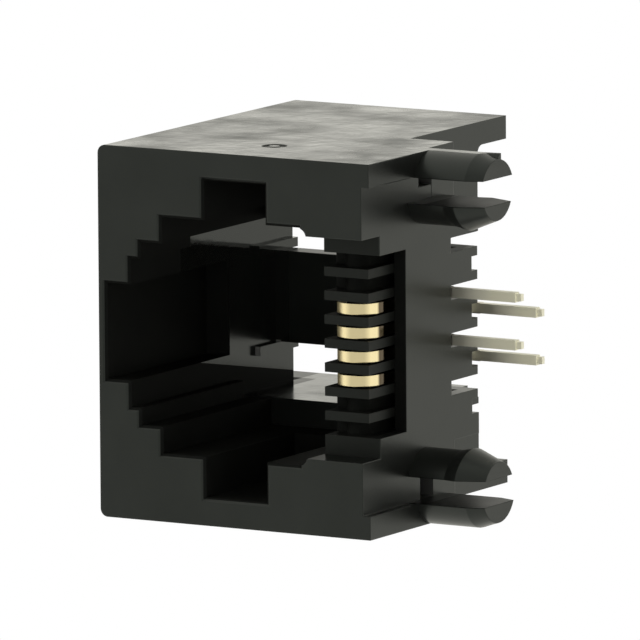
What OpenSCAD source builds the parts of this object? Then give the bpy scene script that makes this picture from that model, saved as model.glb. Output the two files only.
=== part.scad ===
// Board-mount modular jack: one moulded housing and four formed spring contacts.
// X runs across the mouth, -Y out of the mouth, +Z away from the board.
// The origin is on the board seat, midway between the two pegs.

/* [Housing] */
// Width across the side walls
body_w = 15.85; // [15.2:0.05:18]
// Depth from the mouth face to the rear edge
body_d = 15.8; // [15:0.1:20]
// Height above the board seat
body_h = 13.2; // [12.7:0.1:16]
// Rounding of the two long top edges
top_r = 0.35; // [0.1:0.05:0.8]
// Thickness of the side walls at the rear
side_t = 1; // [0.8:0.05:1.6]
// Thickness of the roof over the latch slot
roof_t = 0.35; // [0.3:0.05:0.8]
// Height of the two seat rails
rail_h = 0.36; // [0.2:0.02:0.6]
// Length of the low front part of the side walls
low_d = 7.7; // [7.2:0.1:9]
// Height of the rear underside above the seat
rear_lift = 2.45; // [1.8:0.05:2.9]
// Diameter of the moulding gate mark on one side
gate_d = 1.1; // [0.6:0.05:1.6]
// Diameter of the stub left in the gate mark
stub_d = 0.45; // [0.2:0.05:0.6]
// Depth of the gate mark
gate_deep = 0.06; // [0.04:0.01:0.3]
// Distance from the mouth face back to the gate mark
gate_back = 3.05; // [2:0.05:5]
// Height of the gate mark above the seat
gate_z = 6.35; // [4:0.05:9]

/* [Plug mouth] */
// Width of the plug channel
plug_w = 10.05; // [9.9:0.05:11]
// Height of the plug channel
plug_h = 7.1; // [6.7:0.05:7.4]
// Depth from the mouth face to the plug stop
plug_d = 9.05; // [8.4:0.05:10]
// Fillet along the floor of the plug channel
floor_r = 0.4; // [0.1:0.05:0.8]
// Width of the lower key step
key_w = 7.8; // [7:0.05:9]
// Height of the lower key step
key_h = 1.05; // [0.6:0.05:1.2]
// Width of the upper key step
shoulder_w = 6.35; // [5:0.05:6.8]
// Height of the upper key step
shoulder_h = 0.5; // [0.3:0.05:0.6]
// Width of the latch slot
latch_w = 4.1; // [3.4:0.05:4.8]
// Depth of the latch slot
latch_d = 8.2; // [6:0.1:9]
// Wall left outside the side grooves
groove_wall = 1.18; // [0.8:0.02:1.6]
// Height of the side grooves
groove_h = 2.98; // [1.5:0.02:4]
// Floor of the side grooves above the plug channel floor
groove_lift = 2.03; // [1:0.01:2.5]
// Depth of the side grooves
groove_d = 7.4; // [3:0.1:8.4]
// Lead-in chamfer round the mouth
lead = 0.15; // [0.05:0.05:0.3]

/* [Rear] */
// Width of the rear chamber
chamber_w = 7.75; // [7.4:0.05:8.4]
// Web between the rear chamber and each side pocket
web_t = 0.8; // [0.5:0.05:1.2]
// Depth of the side pockets
pocket_d = 2.45; // [1:0.05:3]
// Fillet at the bottom of the side pockets
pocket_r = 0.4; // [0.1:0.05:0.8]
// Height of the lower ends of the webs above the seat
web_lift = 4.4; // [3:0.1:6]
// Distance from the chamber out to the relief slit under each web
slit_in = 0.28; // [0.2:0.02:0.5]
// Width of the relief slits
slit_w = 0.4; // [0.2:0.05:0.6]
// Depth of the relief slits
slit_d = 3.4; // [2.5:0.1:4]
// Depth of the cut-out in the rear of the roof
notch_d = 2.3; // [1:0.05:3]
// Width of the rib on each side of the hanging post
rib_w = 0.4; // [0.2:0.05:0.8]
// Length of the ribs, forward from the cut-out
rib_l = 3.2; // [2:0.1:4]
// How far the ribs stand out of the chamber roof
rib_t = 0.26; // [0.1:0.02:0.5]
// Width of the hanging post
post_w = 3.95; // [2:0.05:5]
// Thickness of the post
post_t = 1; // [0.8:0.05:2]
// Distance from the cut-out forward to the post
post_in = 0.45; // [0.1:0.05:1]
// Length that the post hangs down from the chamber roof
post_h = 6.7; // [4:0.1:7.5]

/* [Contacts and comb] */
// Number of comb positions
positions = 8; // [6:2:8]
// Pitch of the positions
pitch = 1.016; // [1:0.002:1.05]
// Width of the contact strip
contact_w = 0.46; // [0.4:0.01:0.55]
// Thickness of the contact strip
contact_t = 0.35; // [0.25:0.01:0.4]
// Clearance on each side of a strip in its slot
slot_gap = 0.08; // [0.03:0.01:0.12]
// Clearance between the comb bar and the strip bent round it
wrap_gap = 0.05; // [0.02:0.01:0.1]
// Outer radius of the front bend
bend_r = 0.97; // [0.85:0.01:1.05]
// Distance from the mouth face back to the comb
comb_back = 1.5; // [0.8:0.05:2]
// Width of the open front below the plug channel
recess_w = 9.4; // [8.6:0.05:9.8]
// Thickness of the plate under the strips
plate_t = 0.55; // [0.4:0.01:0.7]
// Height of the comb ribs over the comb bar
rib_over = 0.6; // [0.5:0.02:0.7]
// Length of the window below the front bends
window_d = 2.15; // [1.5:0.05:3]
// Rise of the spring arms
arm_angle = 20; // [12:1:26]
// Length of the spring arms
arm_l = 7.2; // [5:0.1:7.5]

/* [Pins and pegs] */
// Distance from the mouth face back to the peg line
peg_back = 5.3; // [4.8:0.05:5.8]
// Distance between the pegs
peg_gap = 12.7; // [11.5:0.05:13.2]
// Diameter of the peg shanks
peg_d = 3.2; // [2.4:0.05:3.4]
// Length of the pegs below the seat
peg_l = 3.15; // [2.6:0.05:3.6]
// How far the barb of the inner half stands out of the shank
barb = 0.13; // [0.05:0.01:0.3]
// Length of the ramp out to the barb
ramp_l = 0.6; // [0.3:0.05:0.8]
// Length of the tapered end of the barbed inner half
taper_l = 1.2; // [0.8:0.05:1.4]
// Diameter of the end of the inner half
inner_end_d = 2.5; // [1.8:0.05:2.8]
// Length of the tapered end of the plain outer half
nose_l = 0.75; // [0.3:0.05:1.2]
// Diameter of the end of the outer half
outer_end_d = 2.7; // [1.8:0.05:3]
// Width of the slot that splits each peg
split_w = 1.1; // [0.3:0.05:1.2]
// Length of the hole above each slot
core_l = 1.1; // [0.6:0.05:1.6]
// Depth of the hole above each slot
core_d = 1.2; // [0.5:0.1:1.8]
// Distance from the peg line back to the front pin row
row_back = 2.4; // [2:0.05:2.6]
// Distance between the two pin rows
row_gap = 2.54; // [2.2:0.02:2.8]
// Width of the solder pins
pin_w = 0.42; // [0.36:0.01:0.46]
// Length of the front pins below the seat
front_pin_l = 2.95; // [2.5:0.05:3.6]
// Length of the rear pins below the seat
rear_pin_l = 2.5; // [2.2:0.05:3.6]
// Inner radius of the bend above the pins
pin_bend_r = 0.08; // [0.06:0.01:0.2]
// Length of the thin pin ends
tip_l = 0.25; // [0.1:0.05:0.5]
// Width of the thin pin ends
tip_w = 0.3; // [0.2:0.01:0.34]
// Clearance between the rear pins and the toothed edge
tooth_gap = 0.4; // [0.05:0.05:0.6]
// Depth of the grooves between the teeth
tooth_d = 0.48; // [0.3:0.02:0.7]
// Width of the plate beside the pin field
margin_w = 0.9; // [0.5:0.05:1.3]
// How far the plate beside the pin field reaches past the teeth
margin_over = 0.08; // [0:0.02:0.5]

/* [Hidden] */
$fn = 48;
eps = 0.5;
NODES = ["housing", "contact_1", "contact_2", "contact_3", "contact_4"];
fitted = len(NODES) - 1;

front_y = -peg_back;
rear_y = front_y + body_d;
half_w = body_w / 2;
barb_r = peg_d / 2 + barb;

// Strip, bar and floor levels, from the seat up
strip_z = rail_h + plate_t;
bend_z = strip_z + bend_r;
bar_r = bend_r - contact_t - wrap_gap;
floor_z = bend_z + bar_r + rib_over;
plug_top = floor_z + plug_h;
key_top = plug_top + key_h;
shoulder_top = key_top + shoulder_h;
latch_top = body_h - roof_t;

// Comb and pin field, from the mouth back
comb_y = front_y + comb_back;
bend_y = comb_y + bend_r;
stop_y = front_y + plug_d;
slot_w = contact_w + 2 * slot_gap;
comb_w = (positions - 1) * pitch + slot_w;
pin_out_r = pin_bend_r + contact_t;
front_row = row_back;
rear_row = row_back + row_gap;
plate_y = rear_row - contact_t / 2 - tooth_gap;
margin_y = plate_y + margin_over;
groove_z = floor_z + groove_lift;
notch_y = rear_y - notch_d;

function pos_x(i) = (i - (positions - 1) / 2) * pitch;
function is_front(i) = (i % 2) == 1;

module box(lo, hi) {
    translate(lo)
        cube(hi - lo);
}

// A profile in X and Z, run from y0 back to y1
module along_y(y0, y1) {
    translate([0, y1, 0])
        rotate([90, 0, 0])
            linear_extrude(y1 - y0)
                children();
}

// A profile in Y and Z, w wide and centred on x
module along_x(x, w) {
    translate([x - w / 2, 0, 0])
        rotate([90, 0, 90])
            linear_extrude(w)
                children();
}

module rect(x, z0, z1) {
    translate([-x / 2, z0])
        square([x, z1 - z0]);
}

module body_profile() {
    rect(body_w, rear_lift, body_h - top_r);
    rect(body_w - 2 * top_r, rear_lift, body_h);
    for (s = [-1, 1])
        translate([s * (half_w - top_r), body_h - top_r])
            circle(top_r);
}

module plug_profile() {
    rect(plug_w, floor_z + floor_r, plug_top);
    rect(plug_w - 2 * floor_r, floor_z, plug_top);
    for (s = [-1, 1])
        translate([s * (plug_w / 2 - floor_r), floor_z + floor_r])
            circle(floor_r);
}

// Flares one step of the mouth by the lead-in chamfer
module lead_in(w, z0, z1) {
    h = z1 - z0;
    flare = [1 + 4 * lead / w, 1 + 4 * lead / h];
    translate([0, front_y + lead, (z0 + z1) / 2])
        rotate([90, 0, 0])
            linear_extrude(2 * lead, scale = flare, slices = 1, segments = 4)
                square([w, h], center = true);
}

module outer() {
    along_y(front_y, rear_y)
        body_profile();
    box([-half_w, front_y, rail_h], [half_w, front_y + low_d, rear_lift + eps]);
    for (s = [-1, 1])
        translate([s * (half_w - side_t / 2), 0, 0])
            box([-side_t / 2, front_y, 0], [side_t / 2, 0, rear_lift + eps]);
    rear_half = chamber_w / 2 + margin_w;
    box([-rear_half, front_y + low_d - eps, rail_h], [rear_half, margin_y, rear_lift + eps]);
}

module mouth() {
    along_y(front_y - eps, stop_y)
        plug_profile();
    along_y(front_y - eps, stop_y)
        rect(key_w, floor_z + eps, key_top);
    along_y(front_y - eps, stop_y)
        rect(shoulder_w, floor_z + eps, shoulder_top);
    along_y(front_y - eps, front_y + latch_d)
        rect(latch_w, floor_z + eps, latch_top);
    along_y(front_y - eps, front_y + groove_d)
        rect(body_w - 2 * groove_wall, groove_z, groove_z + groove_h);
    lead_in(plug_w, floor_z + floor_r, plug_top);
    lead_in(key_w, floor_z + floor_r, key_top);
    lead_in(shoulder_w, floor_z + floor_r, shoulder_top);
    lead_in(latch_w, floor_z + floor_r, latch_top);
    lead_in(body_w - 2 * groove_wall, groove_z, groove_z + groove_h);
    box([-recess_w / 2, front_y - eps, -eps], [recess_w / 2, comb_y, floor_z + eps]);
}

module pocket_outline(x0, x1) {
    y0 = rear_y - pocket_d;
    translate([x0, y0 + pocket_r])
        square([x1 - x0, pocket_d]);
    translate([x0 + pocket_r, y0])
        square([x1 - x0 - 2 * pocket_r, pocket_d]);
    for (x = [x0 + pocket_r, x1 - pocket_r])
        translate([x, y0 + pocket_r])
            circle(pocket_r);
}

module rear_opening() {
    box([-chamber_w / 2, stop_y - eps, floor_z], [chamber_w / 2, rear_y + eps, shoulder_top]);
    box([-chamber_w / 2, plate_y, -eps], [chamber_w / 2, rear_y + eps, floor_z + eps]);
    box([-chamber_w / 2, notch_y, floor_z], [chamber_w / 2, rear_y + eps, body_h + eps]);
    for (s = [0, 1])
        mirror([s, 0, 0]) {
            web_x = chamber_w / 2;
            pocket_x = web_x + web_t;
            translate([0, 0, rear_lift - eps])
                linear_extrude(body_h - side_t - rear_lift + eps)
                    pocket_outline(pocket_x, half_w - side_t);
            translate([0, rear_y - pocket_d, rear_lift - eps])
                box([web_x - eps, 0, 0], [pocket_x + pocket_r, pocket_d + eps, web_lift - rear_lift + eps]);
            translate([web_x + slit_in, rear_y - slit_d, rear_lift - eps])
                cube([slit_w, slit_d + eps, web_lift - rear_lift + eps]);
        }
}

// Ring-shaped recess round the gate stub
module gate_mark() {
    translate([half_w - gate_deep, front_y + gate_back, gate_z])
        rotate([0, 90, 0])
            difference() {
                cylinder(gate_deep + eps, gate_d / 2, gate_d / 2);
                translate([0, 0, -eps])
                    cylinder(gate_deep + 3 * eps, stub_d / 2, stub_d / 2);
            }
}

// Post that hangs from the chamber roof, between two ribs
module hanging_post() {
    translate([0, notch_y - post_in - post_t, shoulder_top - post_h])
        box([-post_w / 2, 0, 0], [post_w / 2, post_t, post_h + eps]);
    for (s = [0, 1])
        mirror([s, 0, 0])
            translate([post_w / 2, notch_y - rib_l, shoulder_top - rib_t])
                cube([rib_w, rib_l, rib_t + eps]);
}

module comb_slots() {
    for (i = [0 : positions - 1])
        along_x(pos_x(i), slot_w)
            translate([comb_y - eps, strip_z])
                square([plate_y - comb_y + 2 * eps, floor_z - strip_z + eps]);
    box([-comb_w / 2, comb_y - eps, -eps], [comb_w / 2, comb_y + window_d, strip_z]);
}

module comb_bar() {
    along_x(0, comb_w + slot_w) {
        translate([bend_y, bend_z])
            circle(bar_r);
        translate([bend_y, bend_z - bar_r])
            square([plate_y - bend_y, 2 * bar_r]);
    }
}

// Open slots for the front pins and grooves for the rear pins
module pin_field() {
    for (i = [0 : positions - 1]) {
        y0 = is_front(i) ? front_row + contact_t / 2 - pin_out_r : plate_y - tooth_d;
        translate([pos_x(i), 0, 0])
            box([-slot_w / 2, y0, -eps], [slot_w / 2, plate_y + eps, floor_z + eps]);
    }
}

module at_pegs() {
    for (s = [0, 1])
        mirror([s, 0, 0])
            translate([peg_gap / 2, 0, 0])
                children();
}

// The part of a turned peg between x0 and x1
module peg_half(outline, x0, x1) {
    reach = barb_r + eps;
    intersection() {
        rotate_extrude()
            polygon(outline);
        box([x0, -reach, -peg_l - eps], [x1, reach, rail_h + 2 * eps]);
    }
}

// Barbed inner half, and a plain outer half cut off flush with the side of the housing
module peg() {
    root = [[0, -peg_l], [0, rail_h + eps], [peg_d / 2, rail_h + eps]];
    ramp = [[peg_d / 2, taper_l + ramp_l - peg_l], [barb_r, taper_l - peg_l], [inner_end_d / 2, -peg_l]];
    nose = [[peg_d / 2, nose_l - peg_l], [outer_end_d / 2, -peg_l]];
    peg_half(concat(root, ramp), -barb_r - eps, -split_w / 2);
    peg_half(concat(root, nose), split_w / 2, half_w - peg_gap / 2);
}

// Hole above the slot of each peg
module peg_cores() {
    at_pegs()
        box([-split_w / 2, -core_l / 2, 0], [split_w / 2, core_l / 2, rail_h + core_d]);
}

module housing() {
    color("#2b2d2b") {
        difference() {
            union() {
                difference() {
                    outer();
                    mouth();
                    rear_opening();
                    comb_slots();
                }
                comb_bar();
            }
            pin_field();
            peg_cores();
            gate_mark();
        }
        hanging_post();
        difference() {
            at_pegs()
                peg();
            peg_cores();
        }
    }
}

// Outline from the bend's centre out to radius r, open towards the arm and the flat run
module bend_outline(r, low, arm, run) {
    circle(r);
    rotate(arm_angle)
        translate([0, low])
            square([arm, r - low]);
    translate([0, -r])
        square([run, r - low]);
}

// Side view of a strip whose pin stands in the given row
module strip_profile(row) {
    turn_y = row + contact_t / 2 - pin_out_r;
    turn_z = strip_z + contact_t - pin_out_r;
    run = turn_y - bend_y;
    in_r = bend_r - contact_t;
    translate([bend_y, bend_z])
        difference() {
            bend_outline(bend_r, 0, arm_l, run);
            bend_outline(in_r, -in_r, arm_l + eps, run + eps);
        }
    translate([turn_y, turn_z])
        intersection() {
            difference() {
                circle(pin_out_r);
                circle(pin_bend_r);
            }
            square(pin_out_r);
        }
    translate([row - contact_t / 2, turn_z - contact_t])
        square(contact_t);
}

module contact(k) {
    i = (positions - fitted) / 2 + k - 1;
    row = is_front(i) ? front_row : rear_row;
    pin_l = is_front(i) ? front_pin_l : rear_pin_l;
    turn_z = strip_z + contact_t - pin_out_r;
    color("#b8a468") {
        along_x(pos_x(i), contact_w)
            strip_profile(row);
        translate([pos_x(i), row, 0]) {
            pin = [pin_w, contact_t] / 2;
            tip = pin - [1, 1] * (pin_w - tip_w) / 2;
            box([-pin.x, -pin.y, tip_l - pin_l], [pin.x, pin.y, turn_z - contact_t / 2]);
            box([-tip.x, -tip.y, -pin_l], [tip.x, tip.y, 2 * tip_l - pin_l]);
        }
    }
}

housing();
for (k = [1 : fitted])
    contact(k);
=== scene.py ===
"""Looks for the modular jack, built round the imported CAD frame."""
from functools import reduce

import bmesh
import bpy
from mathutils import Matrix, Vector


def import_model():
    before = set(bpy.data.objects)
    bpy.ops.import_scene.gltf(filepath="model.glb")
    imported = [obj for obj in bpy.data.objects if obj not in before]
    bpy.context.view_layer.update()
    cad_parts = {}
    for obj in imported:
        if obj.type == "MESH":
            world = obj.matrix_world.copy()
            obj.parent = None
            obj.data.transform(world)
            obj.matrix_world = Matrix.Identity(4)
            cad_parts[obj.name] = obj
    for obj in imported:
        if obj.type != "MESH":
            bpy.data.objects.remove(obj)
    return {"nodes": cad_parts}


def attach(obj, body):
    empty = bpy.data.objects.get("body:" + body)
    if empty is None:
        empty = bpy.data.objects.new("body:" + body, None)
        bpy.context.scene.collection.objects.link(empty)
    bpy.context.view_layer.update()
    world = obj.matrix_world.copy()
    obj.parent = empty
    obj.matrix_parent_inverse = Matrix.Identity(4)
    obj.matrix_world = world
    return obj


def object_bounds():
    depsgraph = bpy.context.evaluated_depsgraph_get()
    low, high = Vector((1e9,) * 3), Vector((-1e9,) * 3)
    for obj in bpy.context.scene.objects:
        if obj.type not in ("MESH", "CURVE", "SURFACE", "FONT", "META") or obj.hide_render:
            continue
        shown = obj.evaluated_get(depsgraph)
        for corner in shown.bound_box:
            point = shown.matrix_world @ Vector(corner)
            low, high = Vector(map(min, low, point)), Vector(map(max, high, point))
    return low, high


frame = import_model()
cad_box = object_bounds()

scene = bpy.context.scene
scene.view_settings.view_transform = "Standard"

MM = 0.001
WHITE = (1, 1, 1, 1)
BEVEL_SAMPLES = 6


# Shader helpers

def new_material(name):
    mat = bpy.data.materials.new(name)
    mat.use_nodes = True
    mat.node_tree.nodes.clear()
    return mat, mat.node_tree


def node(tree, kind, inputs=None, **props):
    """A node with its properties set and its inputs linked or given a value."""
    n = tree.nodes.new(kind)
    for key, value in props.items():
        setattr(n, key, value)
    for key, value in (inputs or {}).items():
        if isinstance(value, bpy.types.NodeSocket):
            tree.links.new(value, n.inputs[key])
        else:
            n.inputs[key].default_value = value
    return n


def calc(tree, kind, *values):
    return node(tree, "ShaderNodeMath", dict(enumerate(values)), operation=kind).outputs[0]


def both(tree, *parts):
    return reduce(lambda a, b: calc(tree, "MULTIPLY", a, b), parts)


def most(tree, *parts):
    return reduce(lambda a, b: calc(tree, "MAXIMUM", a, b), parts)


def blend(tree, value, start, end, low=0.0, high=1.0):
    """Takes a value that runs from low to high to one that runs from start to end."""
    ends = {"From Min": low, "From Max": high, "To Min": start, "To Max": end}
    return node(tree, "ShaderNodeMapRange", {"Value": value, **ends}).outputs["Result"]


# The mix node has a pair of inputs and an output for each type of data, told apart by number

def mix_values(tree, factor, a, b):
    return node(tree, "ShaderNodeMix", {"Factor": factor, 2: a, 3: b}).outputs[0]


def mix_colours(tree, factor, a, b):
    return node(tree, "ShaderNodeMix", {"Factor": factor, 6: a, 7: b}, data_type="RGBA").outputs[2]


def mix_shaders(tree, factor, a, b):
    return node(tree, "ShaderNodeMixShader", {"Fac": factor, 1: a, 2: b}).outputs["Shader"]


def bump(tree, height, strength, depth, normal):
    ends = {"Height": height, "Strength": strength, "Distance": depth, "Normal": normal}
    return node(tree, "ShaderNodeBump", ends).outputs["Normal"]


def noise(tree, coord, scale, detail=3.0, roughness=0.55, stretch=None):
    source = coord.outputs["Object"]
    if stretch:
        source = node(tree, "ShaderNodeMapping", {"Vector": source, "Scale": stretch}).outputs["Vector"]
    ends = {"Vector": source, "Scale": scale, "Detail": detail, "Roughness": roughness}
    return node(tree, "ShaderNodeTexNoise", ends).outputs["Fac"]


def place(tree, coord):
    """The point's distance from the middle plane, its y and its z, and its x with its sign."""
    split = node(tree, "ShaderNodeSeparateXYZ", {"Vector": coord.outputs["Object"]})
    x, y, z = (split.outputs[k] for k in "XYZ")
    return {"x": calc(tree, "ABSOLUTE", x), "y": y, "z": z, "signed": x}


def inside(tree, at, box):
    """One inside a box, zero elsewhere."""
    tests = []
    for axis, (low, high) in box.items():
        tests.append(calc(tree, "GREATER_THAN", at[axis], low * MM))
        tests.append(calc(tree, "LESS_THAN", at[axis], high * MM))
    return both(tree, *tests)


# The moulding

# Where its finish changes: boxes in the part's frame, in millimetres, with x as the distance from the middle
# plane and signed as x with its sign
MOUTH = {"x": (-1.0, 6.8), "y": (-5.25, 3.7), "z": (3.1, 13.0)}
COMB = {"x": (-1.0, 6.8), "y": (-3.79, 3.7), "z": (0.95, 3.1)}
WINDOW_END = {"x": (-1.0, 6.8), "y": (-1.7, -1.6), "z": (0.37, 0.95)}
RIB_FACES = {"x": (-1.0, 4.8), "y": (-3.85, -1.7), "z": (0.4, 3.1)}
PEG_SLOTS = {"x": (5.78, 6.92), "z": (-4.0, -0.4)}
ROOF = {"x": (-1.0, 3.95), "y": (-1.1, 9.0), "z": (11.05, 11.8)}
ROOF_BACK = {"x": (-1.0, 3.95), "y": (3.7, 9.0), "z": (11.05, 13.0)}
HOLLOWS = {"x": (-1.0, 6.85), "y": (-5.28, 11.0), "z": (0.5, 12.95)}
PEG_ROOTS = {"x": (4.6, 8.1), "y": (-1.9, 1.9), "z": (-0.1, 0.6)}
OUTER_SIDES = {"x": (7.9, 9.0)}
CHAMBER_SIDES = {"x": (3.8, 3.9), "y": (3.7, 11.0), "z": (2.4, 11.75)}
PARTING_LINE = {"y": (-5.3, 0.8), "z": (2.38, 2.46)}

# The polished stretch of the roof ends on a slant, in millimetres: x + ROOF_SLANT * y above ROOF_EDGE
ROOF_SLANT = 0.177
ROOF_EDGE = -1.97

# How matt the faces of the comb's ribs and the slots of the pegs are, beside the mouth's 1
RIB_MATT = 0.55
SLOT_MATT = 0.45

# The ends of the mottled black: the level of the noise, and the colour there
CLOUD_DARK = (0.3, (0.0048, 0.005, 0.0044, 1))
CLOUD_LIGHT = (0.75, (0.0078, 0.0082, 0.0072, 1))

# The gate mark on the side, painted paler as painted light over the dark shade of its ring groove: its
# middle, where the paler paint fades out, and its colour
GATE = Vector((7.9, -2.25, 6.35)) * MM
GATE_FADE = (0.45 * MM, 0.62 * MM)
GATE_COLOUR = (0.05, 0.05, 0.045, 1)

# Painted light: plastic painted paler where it lies in shade and came out darker than the real part looks, as
# a box
# and a grey: the sides of the roof's -X rib, and the walls of the holes over the slots of the pegs. Its blue
# is PAINTED_LIGHT_BLUE times the grey
PAINTED_LIGHT_PATCHES = [
    ({"signed": (-2.45, -1.9), "y": (4.9, 8.2), "z": (11.45, 11.69)}, 0.15),
    ({"x": (5.75, 6.95), "y": (-0.6, 0.6), "z": (0.38, 1.6)}, 0.12),
]
PAINTED_LIGHT_BLUE = 0.93

# Roughness: of the skin, added to it where it is matt, of the sides between two levels of their noise, and
# of the polished roof from one side of the middle plane to the other
SKIN_ROUGHNESS = (0.26, 0.4)
MATT_ROUGHNESS = 0.25
SIDE_ROUGHNESS = (0.04, 0.36)
SIDE_LEVELS = (0.3, 0.7)
ROOF_ROUGHNESS = (0.2, 0.05)
ROOF_TURN = (-1.0 * MM, 1.0 * MM)

# Specular level: of the skin, where it is matt, and how far it falls on the polished roof
SKIN_SPECULAR = 0.4
MATT_SPECULAR = 0.03
ROOF_DROP = 0.09
PLASTIC_IOR = 1.5
PLASTIC_TINT = (0.9, 1.0, 0.95, 1)

# Noise: scales per metre, and settings that differ from the usual
CLOUD_SCALE = 420.0
SIDE_SCALE = 300.0
SWELL_SCALE = 260.0
SIDE_DETAIL = 4.0
GRAIN_SCALE = 5200.0
GRAIN_ROUGHNESS = 0.6

# Relief: the parting line on the swell, the swell of the sides and of the chamber, the grain, and the radius
# of the edges
LINE_HEIGHT = 0.5
SIDE_SWELL = 0.8
CHAMBER_SWELL = 0.2
SWELL_DEPTH = 0.25 * MM
GRAIN_STRENGTH = 0.25
GRAIN_DEPTH = 0.008 * MM
PLASTIC_EDGE = 0.07 * MM


def core_finish(tree, at):
    """How matt the mould's cores left the mouth and the comb, and where they polished the roof."""
    slant = calc(tree, "ADD", at["signed"], calc(tree, "MULTIPLY", at["y"], ROOF_SLANT))
    clear = calc(tree, "GREATER_THAN", slant, ROOF_EDGE * MM)
    roof = both(tree, inside(tree, at, ROOF), clear)
    deep = most(tree, *(inside(tree, at, box) for box in (MOUTH, COMB, WINDOW_END)))
    faces = both(tree, inside(tree, at, RIB_FACES), RIB_MATT)
    slots = both(tree, inside(tree, at, PEG_SLOTS), SLOT_MATT)
    matt = both(tree, most(tree, deep, faces, slots), calc(tree, "SUBTRACT", 1.0, roof))
    shade = both(tree, inside(tree, at, ROOF_BACK), calc(tree, "SUBTRACT", 1.0, clear))
    return most(tree, matt, shade), roof


def plastic():
    """Black moulding: almost all of its light is mirrored surroundings."""
    mat, tree = new_material("moulded_black_plastic")
    coord = node(tree, "ShaderNodeTexCoord")
    at = place(tree, coord)
    core, roof = core_finish(tree, at)
    outer = inside(tree, at, OUTER_SIDES)
    chamber = inside(tree, at, CHAMBER_SIDES)
    cloud = noise(tree, coord, CLOUD_SCALE)

    tone = node(tree, "ShaderNodeValToRGB", {"Fac": cloud})
    dark, light = tone.color_ramp.elements
    dark.position, dark.color = CLOUD_DARK
    light.position, light.color = CLOUD_LIGHT
    # Painted light: the gate mark's ring groove is painted paler so it shows less shade
    reach = node(tree, "ShaderNodeVectorMath", {0: coord.outputs["Object"], 1: GATE}, operation="DISTANCE")
    gate_painted_light = blend(tree, reach.outputs["Value"], 1.0, 0.0, *GATE_FADE)
    colour = mix_colours(tree, gate_painted_light, tone.outputs["Color"], GATE_COLOUR)
    # Painted light: paler greys over the shaded faces of the roof rib and the peg holes
    for box, grey in PAINTED_LIGHT_PATCHES:
        colour = mix_colours(tree, inside(tree, at, box), colour, (grey, grey, PAINTED_LIGHT_BLUE * grey, 1))

    skin = blend(tree, cloud, *SKIN_ROUGHNESS)
    skin = calc(tree, "ADD", skin, calc(tree, "MULTIPLY", core, MATT_ROUGHNESS))
    sheen = noise(tree, coord, SIDE_SCALE, detail=SIDE_DETAIL)
    sheen = blend(tree, sheen, *SIDE_ROUGHNESS, *SIDE_LEVELS)
    polish = blend(tree, at["signed"], *ROOF_ROUGHNESS, *ROOF_TURN)
    skin = mix_values(tree, most(tree, outer, chamber), skin, sheen)
    skin = mix_values(tree, roof, skin, polish)

    line = both(tree, inside(tree, at, PARTING_LINE), LINE_HEIGHT)
    swell = calc(tree, "ADD", noise(tree, coord, SWELL_SCALE, detail=SIDE_DETAIL), line)
    strength = most(tree, both(tree, outer, SIDE_SWELL), both(tree, chamber, CHAMBER_SWELL))
    sharp = most(tree, inside(tree, at, HOLLOWS), inside(tree, at, PEG_ROOTS))
    radius = blend(tree, sharp, PLASTIC_EDGE, 0.0)
    round_edges = node(tree, "ShaderNodeBevel", {"Radius": radius}, samples=BEVEL_SAMPLES)
    waves = bump(tree, swell, strength, SWELL_DEPTH, round_edges.outputs["Normal"])
    grain = noise(tree, coord, GRAIN_SCALE, roughness=GRAIN_ROUGHNESS)

    gloss = blend(tree, core, SKIN_SPECULAR, MATT_SPECULAR)
    bsdf = node(tree, "ShaderNodeBsdfPrincipled", {
        "Base Color": colour,
        "Roughness": skin,
        "IOR": PLASTIC_IOR,
        "Specular IOR Level": calc(tree, "SUBTRACT", gloss, both(tree, roof, ROOF_DROP)),
        "Specular Tint": PLASTIC_TINT,
        "Normal": bump(tree, grain, GRAIN_STRENGTH, GRAIN_DEPTH, waves),
    })
    node(tree, "ShaderNodeOutputMaterial", {"Surface": bsdf.outputs["BSDF"]})
    return mat


# The contacts

CONTACTS = ["contact_%d" % k for k in range(1, 5)]

# Where their finish changes: the top of the flat run, where on it the painted shade over the gilt starts and
# the tin begins, where the tin is painted lighter down the pins as painted light, and where the gilt dulls at
# the crest of the bend
RUN_TOP = 1.6 * MM
RUN_SHADE_START = (-3.05 * MM, -2.9 * MM)
TIN_START = (0.8 * MM, 1.6 * MM)
PIN_FADE = (0.0, -1.6 * MM)
CREST = (1.95 * MM, 2.35 * MM)

GILT = (0.95, 0.82, 0.5, 1)
# Painted shade: the flat run behind the bend is painted dark brown where it lies in shade
RUN_SHADE_COLOUR = (0.1, 0.075, 0.045, 1)
TIN = (0.84, 0.82, 0.73, 1)
# Painted light: the tin is painted paler towards the pin ends, where they catch more light away from the
# housing
TIN_PAINTED_LIT = (0.96, 0.95, 0.87, 1)

# Roughness: of the gilt, and added to it past the crest, on the tin and down the pins
GILT_ROUGHNESS = (0.05, 0.1)
CREST_ROUGHNESS = 0.35
TIN_ROUGHNESS = 0.42
END_ROUGHNESS = 0.5

# Noise of the gilt, and the drawn lines along the strips
GILT_SCALE = 2600.0
DRAWN_SCALE = 4000.0
DRAWN_STRETCH = (1.0, 0.05, 0.05)
DRAWN_STRENGTH = 0.15
DRAWN_DEPTH = 0.006 * MM
METAL_EDGE = 0.05 * MM


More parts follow.
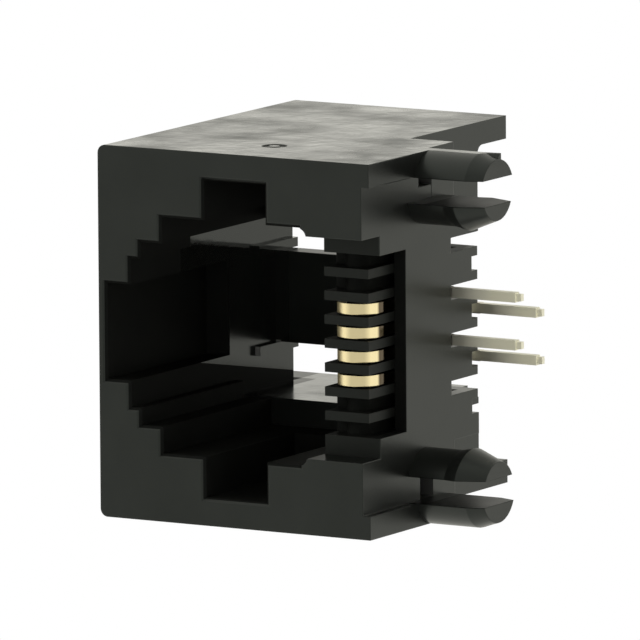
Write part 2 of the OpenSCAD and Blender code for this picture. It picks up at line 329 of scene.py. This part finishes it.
def contact_metal():
    """Gilt on the bend and the arm, painted shade behind the bend, then tin painted lighter down the pins as
    painted light.
    """
    mat, tree = new_material("gilt_and_tin")
    coord = node(tree, "ShaderNodeTexCoord")
    at = place(tree, coord)
    low = calc(tree, "LESS_THAN", at["z"], RUN_TOP)
    tin = both(tree, low, blend(tree, at["y"], 0.0, 1.0, *TIN_START))
    end = blend(tree, at["z"], 0.0, 1.0, *PIN_FADE)
    # Painted light: paler tin down the pins
    lit_tin = mix_colours(tree, end, TIN, TIN_PAINTED_LIT)
    # Painted shade on the flat run behind the bend
    run_shade = both(tree, low, blend(tree, at["y"], 0.0, 1.0, *RUN_SHADE_START))
    gilt_with_shade = mix_colours(tree, run_shade, GILT, RUN_SHADE_COLOUR)
    crest = blend(tree, at["z"], 0.0, CREST_ROUGHNESS, *CREST)
    gilt = calc(tree, "ADD", blend(tree, noise(tree, coord, GILT_SCALE), *GILT_ROUGHNESS), crest)
    dull = calc(tree, "ADD", both(tree, tin, TIN_ROUGHNESS), both(tree, end, END_ROUGHNESS))
    lines = noise(tree, coord, DRAWN_SCALE, stretch=DRAWN_STRETCH)
    round_edges = node(tree, "ShaderNodeBevel", {"Radius": METAL_EDGE}, samples=BEVEL_SAMPLES)
    bsdf = node(tree, "ShaderNodeBsdfPrincipled", {
        "Base Color": mix_colours(tree, tin, gilt_with_shade, lit_tin),
        "Metallic": 1.0,
        "Roughness": calc(tree, "ADD", gilt, dull),
        "Normal": bump(tree, lines, DRAWN_STRENGTH, DRAWN_DEPTH, round_edges.outputs["Normal"]),
    })
    node(tree, "ShaderNodeOutputMaterial", {"Surface": bsdf.outputs["BSDF"]})
    return mat


def dress(name, mat):
    mesh = frame["nodes"][name].data
    mesh.materials.clear()
    mesh.materials.append(mat)


moulding = plastic()
dress("housing", moulding)
metal = contact_metal()
for contact in CONTACTS:
    dress(contact, metal)


# Small webs of the moulding that the solids lack, in millimetres

# The comb's unused slots are filled to the plug floor behind their round nose: outline in y and z
WEB_SLOTS = (-3.556, -2.54, 2.54, 3.556)
WEB_HALF = 0.3
SLOT_WEB = ((-2.89, 2.46), (-2.89, 2.95), (-2.86, 3.01), (-2.79, 3.04), (2.1, 3.04), (2.1, 2.46))

# The hole over the slot of the +X peg is half filled: outline in x and z
PEG_WEB = ((5.81, 1.55), (5.81, 0.37), (6.31, 0.37), (6.345, 0.385), (6.36, 0.42), (6.36, 1.55))
PEG_WEB_HALF = 0.54

# The flat side of that peg runs on past its tapered end as a small heel: outlines in x and y
HEEL_TOP = ((7.3, -0.5), (7.9, 0.06), (7.92, 0.25), (7.89, 0.28), (7.3, 0.28))
HEEL_END = ((7.3, -0.25), (7.9, 0.31), (7.92, 0.4), (7.89, 0.43), (7.3, 0.43))
HEEL_Z = (-2.0, -3.08)


def web(name, ends):
    """Closed prisms between pairs of outlines, as one piece of the housing."""
    shape = bmesh.new()
    for near, far in ends:
        a, b = ([shape.verts.new(Vector(p) * MM) for p in outline] for outline in (near, far))
        shape.faces.new(a)
        shape.faces.new(b)
        for k in range(len(a)):
            shape.faces.new((a[k - 1], a[k], b[k], b[k - 1]))
    bmesh.ops.recalc_face_normals(shape, faces=shape.faces)
    mesh = bpy.data.meshes.new(name)
    shape.to_mesh(mesh)
    shape.free()
    mesh.materials.append(moulding)
    piece = bpy.data.objects.new(name, mesh)
    scene.collection.objects.link(piece)
    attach(piece, "root")


web("slot_webs", [
    [[(x + side, y, z) for y, z in SLOT_WEB] for side in (-WEB_HALF, WEB_HALF)]
    for x in WEB_SLOTS
])
web("peg_web", [[[(x, side, z) for x, z in PEG_WEB] for side in (-PEG_WEB_HALF, PEG_WEB_HALF)]])
web("peg_heel", [[[(x, y, z) for x, y in outline] for outline, z in zip((HEEL_TOP, HEEL_END), HEEL_Z)]])


# Floor: pale from above, clear from below, where the photograph was taken from, and clear in reflections;
# past the shadow it fades into the white backdrop

FLOOR_SIZE = 4.0
FLOOR_COLOUR = (0.93, 0.93, 0.93, 1)
SHADOW_REACH = 60 * MM
BACKDROP = 130 * MM


def floor():
    bpy.ops.mesh.primitive_plane_add(size=FLOOR_SIZE, location=(0, 0, cad_box[0].z))
    plane = bpy.context.object
    plane.name = "floor"
    mat, tree = new_material("pale_floor")
    path = node(tree, "ShaderNodeLightPath")
    geometry = node(tree, "ShaderNodeNewGeometry")
    matt = node(tree, "ShaderNodeBsdfDiffuse", {"Color": FLOOR_COLOUR})
    clear = node(tree, "ShaderNodeBsdfTransparent")
    hidden = most(tree, geometry.outputs["Backfacing"], path.outputs["Is Glossy Ray"])
    coord = node(tree, "ShaderNodeTexCoord")
    reach = node(tree, "ShaderNodeVectorMath", {0: coord.outputs["Object"]}, operation="LENGTH")
    fade = blend(tree, reach.outputs["Value"], 0.0, 1.0, SHADOW_REACH, BACKDROP)
    white = node(tree, "ShaderNodeEmission", {"Color": WHITE, "Strength": 1.0})
    far = both(tree, fade, path.outputs["Is Camera Ray"])
    top = mix_shaders(tree, far, matt.outputs["BSDF"], white.outputs["Emission"])
    whole = mix_shaders(tree, hidden, top, clear.outputs["BSDF"])
    node(tree, "ShaderNodeOutputMaterial", {"Surface": whole})
    plane.data.materials.append(mat)


floor()


# World: white to the camera, softer as a light, and in reflections warm and dimmer round the camera's side,
# from the first to the second of the levels as the direction turns to that side

CAMERA_SIDE = (0.1, -0.96, -0.26)
MIRROR_TURN = (0.36, 0.8)
MIRROR_LEVELS = (0.98, 0.6)
MIRROR_COLOUR = (1, 0.985, 0.9, 1)
SOFT_LEVEL = 0.55


def world():
    w = bpy.data.worlds.new("studio")
    scene.world = w
    w.use_nodes = True
    tree = w.node_tree
    tree.nodes.clear()
    path = node(tree, "ShaderNodeLightPath")
    coord = node(tree, "ShaderNodeTexCoord")
    facing = node(tree, "ShaderNodeVectorMath", {0: coord.outputs["Generated"], 1: CAMERA_SIDE},
                  operation="DOT_PRODUCT")
    level = blend(tree, facing.outputs["Value"], *MIRROR_LEVELS, *MIRROR_TURN)
    white, soft, mirror = (
        node(tree, "ShaderNodeBackground", {"Color": colour, "Strength": strength}).outputs["Background"]
        for colour, strength in ((WHITE, 1.0), (WHITE, SOFT_LEVEL), (MIRROR_COLOUR, level))
    )
    shine = mix_shaders(tree, path.outputs["Is Glossy Ray"], soft, mirror)
    seen = most(tree, path.outputs["Is Camera Ray"], path.outputs["Is Transmission Ray"])
    node(tree, "ShaderNodeOutputWorld", {"Surface": mix_shaders(tree, seen, shine, white)})


world()


# Lamps: name, spot and width in metres, and power in watts

LAMPS = (
    ("key", (0.16, -0.16, 0.26), 0.16, 0.55),
    ("fill", (-0.22, -0.12, 0.16), 0.2, 0.25),
    ("back", (0.02, 0.26, 0.2), 0.2, 0.25),
)
CENTRE = Vector((0.0, 0.0025, 0.005))


def lamp(name, spot, size, power):
    data = bpy.data.lights.new(name, "AREA")
    data.shape = "DISK"
    data.size = size
    data.energy = power
    light = bpy.data.objects.new(name, data)
    light.location = spot
    light.rotation_mode = "QUATERNION"
    light.rotation_quaternion = (CENTRE - Vector(spot)).to_track_quat("-Z", "Y")
    light.visible_glossy = False
    scene.collection.objects.link(light)


for row in LAMPS:
    lamp(*row)


# Camera: below the board plane and a little to the +X side, turned so that +X is up in the picture

RIGHT = Vector((-0.0064230, 0.5081731, -0.8612310))
DOWN = Vector((-0.9886084, -0.1327387, -0.0709501))
AHEAD = Vector((-0.1503736, 0.8509645, 0.5032368))
EYE = Vector((0.0890902, -0.5025159, -0.2916591))
SENSOR = 36.0
LENS = 787.5036
CLIP = (0.05, 10.0)


def camera():
    data = bpy.data.cameras.new("camera")
    data.sensor_width = SENSOR
    data.lens = LENS
    data.clip_start, data.clip_end = CLIP
    cam = bpy.data.objects.new("camera", data)
    turn = Matrix((RIGHT, -DOWN, -AHEAD)).transposed().to_4x4()
    cam.matrix_world = Matrix.Translation(EYE) @ turn
    scene.collection.objects.link(cam)
    scene.camera = cam


camera()
